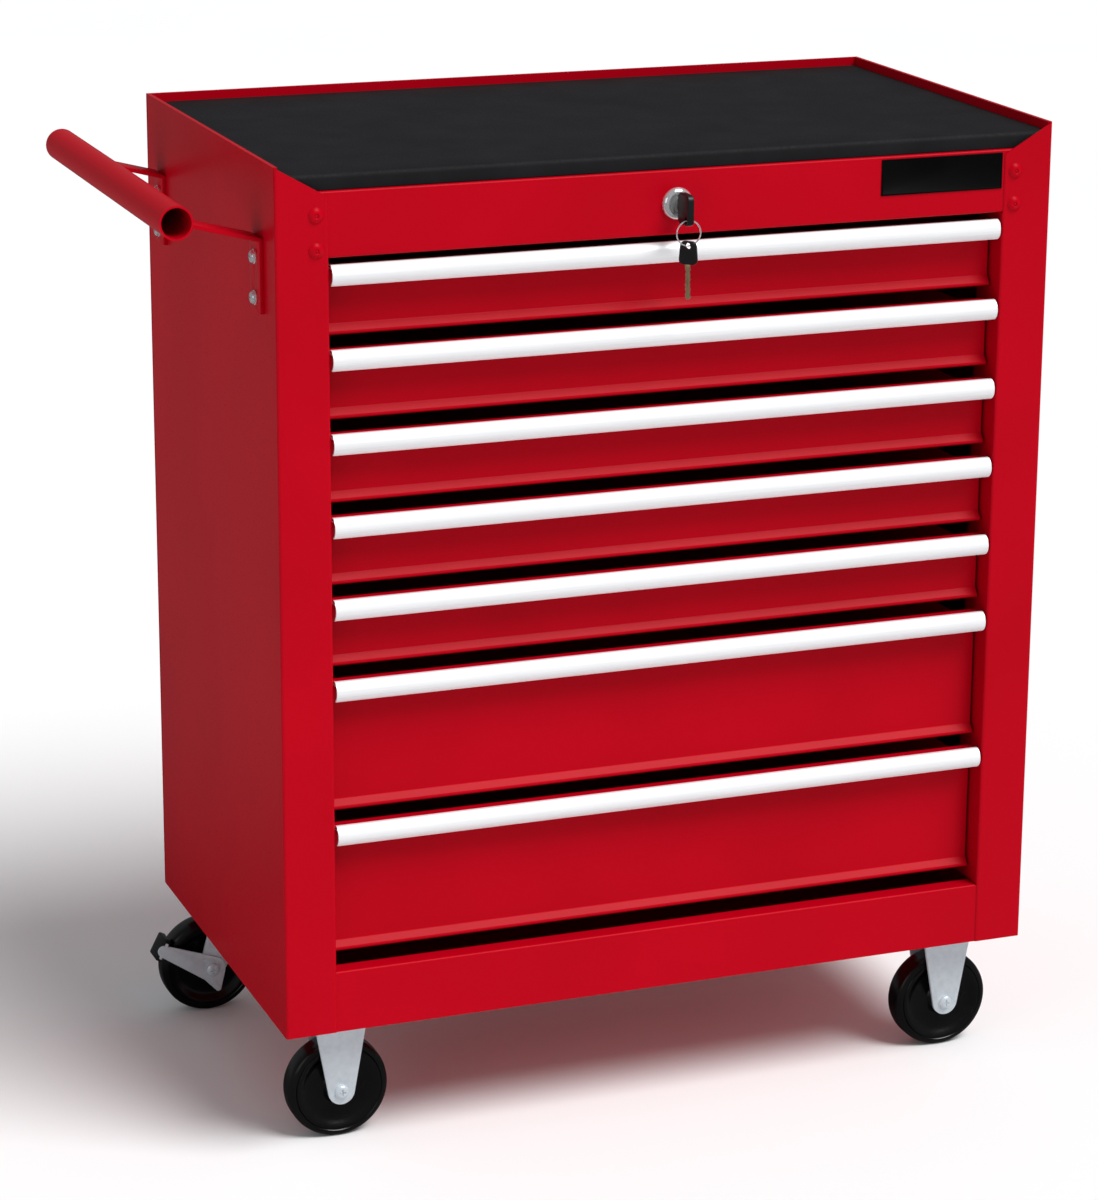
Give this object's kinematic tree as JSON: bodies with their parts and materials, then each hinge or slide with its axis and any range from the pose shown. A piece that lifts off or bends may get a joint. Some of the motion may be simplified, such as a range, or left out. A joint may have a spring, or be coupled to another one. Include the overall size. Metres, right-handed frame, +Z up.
{
  "type": "rolling tool chest",
  "caption": "Sheet-steel tool cabinet with full-width drawers, a matted worktop, a side push handle and casters.",
  "frame": {"origin": "on the floor, under the middle of the whole object's box, push handle and key included", "axes": "+Z up, +Y towards the back, +X to the right seen from the front; drawers open towards -Y, the push handle is on the -X side"},
  "size_m": [0.6984, 0.376, 0.763],
  "materials": {
    "red_enamel": "gloss enamel",
    "mat_rubber": "fine matt grain",
    "pull_aluminium": "bright satin anodised",
    "zinc_steel": "bright zinc plate",
    "chrome": "polished",
    "black_plastic": "satin",
    "wheel_black": "semi-gloss"
  },
  "bodies": {
    "cabinet": {"left_side_panel": "red_enamel", "right_side_panel": "red_enamel", "back_panel": "red_enamel", "bottom_panel": "red_enamel", "front_top_rail": "red_enamel", "front_bottom_rail": "red_enamel", "top_tray": "red_enamel", "slide_posts": "red_enamel", "front_rivets": "red_enamel", "handle_tube": "red_enamel", "handle_brackets": "red_enamel", "top_mat": "mat_rubber", "cabinet_rails": "zinc_steel", "rigid_caster_forks": "zinc_steel", "rigid_caster_axles": "zinc_steel", "swivel_caster_plates": "zinc_steel", "caster_bolts": "zinc_steel", "lock_barrel": "chrome", "lock_nut": "chrome", "handle_bolts": "chrome", "badge_plate": "black_plastic"},
    "drawer_1": {"drawer_1_box": "red_enamel", "drawer_1_pull": "pull_aluminium", "drawer_1_runners": "zinc_steel"},
    "drawer_2": {"drawer_2_box": "red_enamel", "drawer_2_pull": "pull_aluminium", "drawer_2_runners": "zinc_steel"},
    "drawer_3": {"drawer_3_box": "red_enamel", "drawer_3_pull": "pull_aluminium", "drawer_3_runners": "zinc_steel"},
    "drawer_4": {"drawer_4_box": "red_enamel", "drawer_4_pull": "pull_aluminium", "drawer_4_runners": "zinc_steel"},
    "drawer_5": {"drawer_5_box": "red_enamel", "drawer_5_pull": "pull_aluminium", "drawer_5_runners": "zinc_steel"},
    "drawer_6": {"drawer_6_box": "red_enamel", "drawer_6_pull": "pull_aluminium", "drawer_6_runners": "zinc_steel"},
    "drawer_7": {"drawer_7_box": "red_enamel", "drawer_7_pull": "pull_aluminium", "drawer_7_runners": "zinc_steel"},
    "rigid_wheel_left": {"rigid_wheel_left": "wheel_black"},
    "swivel_left": {"swivel_fork_left": "zinc_steel", "swivel_axle_left": "zinc_steel"},
    "swivel_wheel_left": {"swivel_wheel_left": "wheel_black"},
    "brake_left": {"brake_lever_left": "chrome", "brake_pedal_left": "black_plastic"},
    "rigid_wheel_right": {"rigid_wheel_right": "wheel_black"},
    "swivel_right": {"swivel_fork_right": "zinc_steel", "swivel_axle_right": "zinc_steel"},
    "swivel_wheel_right": {"swivel_wheel_right": "wheel_black"},
    "brake_right": {"brake_lever_right": "chrome", "brake_pedal_right": "black_plastic"},
    "lock_core": {"lock_plug": "chrome", "lock_tailpiece": "zinc_steel"},
    "key": {"key": "black_plastic"},
    "key_ring": {"key_ring": "chrome"},
    "lock_bar": {"lock_bar": "zinc_steel", "lock_bar_hooks": "zinc_steel"}
  },
  "joints": [
    {"name": "drawer_1_slide", "type": "slide", "parent": "cabinet", "child": "drawer_1", "axis": [0, -1, 0], "range_m": [0, 0.23]},
    {"name": "drawer_2_slide", "type": "slide", "parent": "cabinet", "child": "drawer_2", "axis": [0, -1, 0], "range_m": [0, 0.23]},
    {"name": "drawer_3_slide", "type": "slide", "parent": "cabinet", "child": "drawer_3", "axis": [0, -1, 0], "range_m": [0, 0.23]},
    {"name": "drawer_4_slide", "type": "slide", "parent": "cabinet", "child": "drawer_4", "axis": [0, -1, 0], "range_m": [0, 0.23]},
    {"name": "drawer_5_slide", "type": "slide", "parent": "cabinet", "child": "drawer_5", "axis": [0, -1, 0], "range_m": [0, 0.23]},
    {"name": "drawer_6_slide", "type": "slide", "parent": "cabinet", "child": "drawer_6", "axis": [0, -1, 0], "range_m": [0, 0.23]},
    {"name": "drawer_7_slide", "type": "slide", "parent": "cabinet", "child": "drawer_7", "axis": [0, -1, 0], "range_m": [0, 0.23]},
    {"name": "rigid_wheel_left_spin", "type": "hinge", "parent": "cabinet", "child": "rigid_wheel_left", "pos_m": [-0.21575, -0.119, 0.04], "axis": [0, 1, 0], "continuous": true},
    {"name": "swivel_left_turn", "type": "hinge", "parent": "cabinet", "child": "swivel_left", "pos_m": [-0.21675, 0.154, 0.101], "axis": [0, 0, 1], "continuous": true},
    {"name": "swivel_wheel_left_spin", "type": "hinge", "parent": "swivel_left", "child": "swivel_wheel_left", "pos_m": [-0.24175, 0.154, 0.04], "axis": [0, 1, 0], "continuous": true},
    {"name": "brake_left_press", "type": "hinge", "parent": "swivel_left", "child": "brake_left", "pos_m": [-0.24175, 0.154, 0.04], "axis": [0, -1, 0], "range_deg": [0, 14]},
    {"name": "rigid_wheel_right_spin", "type": "hinge", "parent": "cabinet", "child": "rigid_wheel_right", "pos_m": [0.29825, -0.119, 0.04], "axis": [0, 1, 0], "continuous": true},
    {"name": "swivel_right_turn", "type": "hinge", "parent": "cabinet", "child": "swivel_right", "pos_m": [0.29925, 0.154, 0.101], "axis": [0, 0, 1], "continuous": true},
    {"name": "swivel_wheel_right_spin", "type": "hinge", "parent": "swivel_right", "child": "swivel_wheel_right", "pos_m": [0.27425, 0.154, 0.04], "axis": [0, 1, 0], "continuous": true},
    {"name": "brake_right_press", "type": "hinge", "parent": "swivel_right", "child": "brake_right", "pos_m": [0.27425, 0.154, 0.04], "axis": [0, -1, 0], "range_deg": [0, 14]},
    {"name": "key_turn", "type": "hinge", "parent": "cabinet", "child": "lock_core", "pos_m": [0.04125, -0.162, 0.719], "axis": [0, 1, 0], "range_deg": [0, 90]},
    {"name": "key_pull", "type": "slide", "parent": "lock_core", "child": "key", "axis": [0, -1, 0], "range_m": [0, 0.03]},
    {"name": "key_ring_turn", "type": "hinge", "parent": "key", "child": "key_ring", "pos_m": [0.04125, -0.1838, 0.7008], "axis": [0, 1, 0], "range_deg": [-90, 0]},
    {"name": "lock_bar_drop", "type": "slide", "parent": "cabinet", "child": "lock_bar", "axis": [0, 0, -1], "range_m": [0, 0.008]}
  ],
  "couplings": [
    {"joint": "key_turn", "follows": "lock_bar_drop", "rad_per_m": 196.35},
    {"joint": "key_ring_turn", "follows": "lock_bar_drop", "rad_per_m": -196.35}
  ]
}
